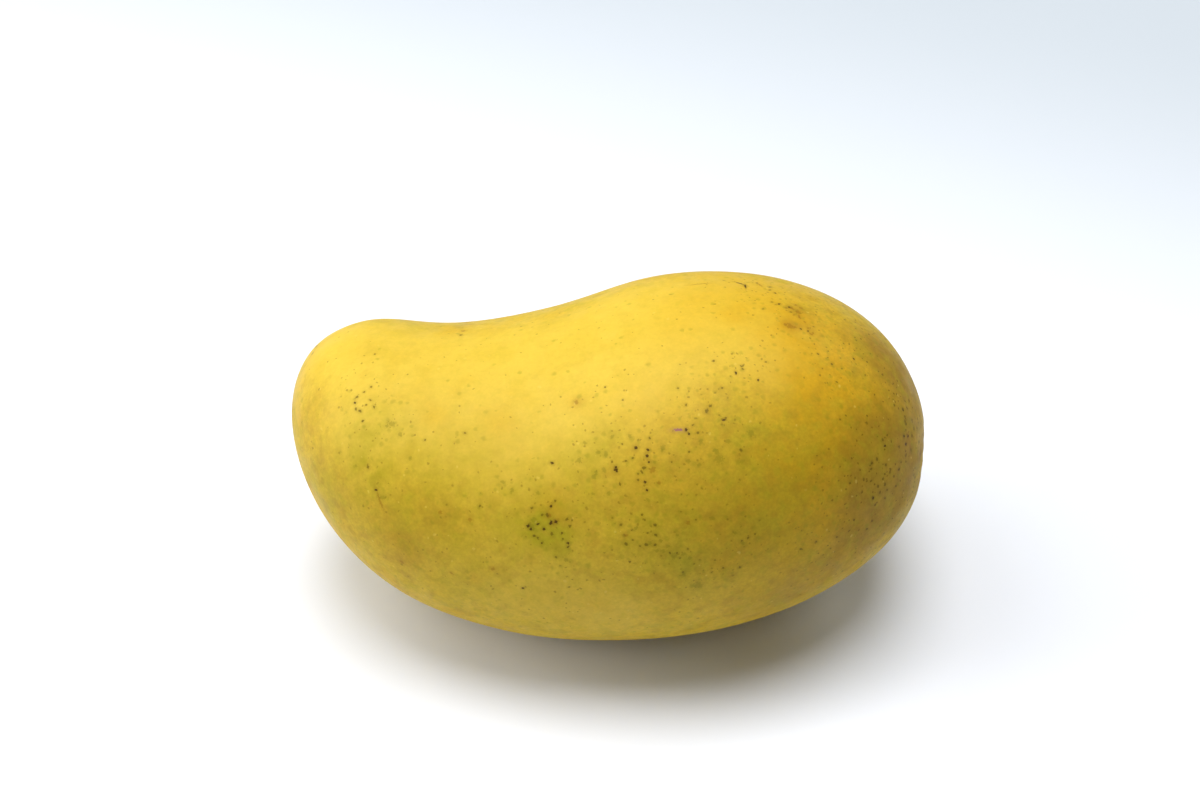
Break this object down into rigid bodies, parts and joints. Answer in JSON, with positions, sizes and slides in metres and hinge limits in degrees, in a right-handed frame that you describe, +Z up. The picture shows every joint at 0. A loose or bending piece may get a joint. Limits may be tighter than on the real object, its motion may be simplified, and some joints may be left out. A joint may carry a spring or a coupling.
{
  "type": "mango",
  "caption": "Ripe yellow kidney-shaped mango with freckled skin and a corky stem scar, lying on its cheek on a small flat spot.",
  "frame": {"origin": "on the surface that the fruit rests on, under the middle of its box", "axes": "+X along the fruit from the tip to the stem end, +Y towards the hollow side of its kidney curve, +Z up"},
  "size_m": [0.1198, 0.075, 0.0639],
  "materials": {
    "skin": "waxy semi-matte fruit skin, golden yellow with dark freckles"
  },
  "bodies": {
    "root": {"mango": "skin"}
  },
  "joints": []
}
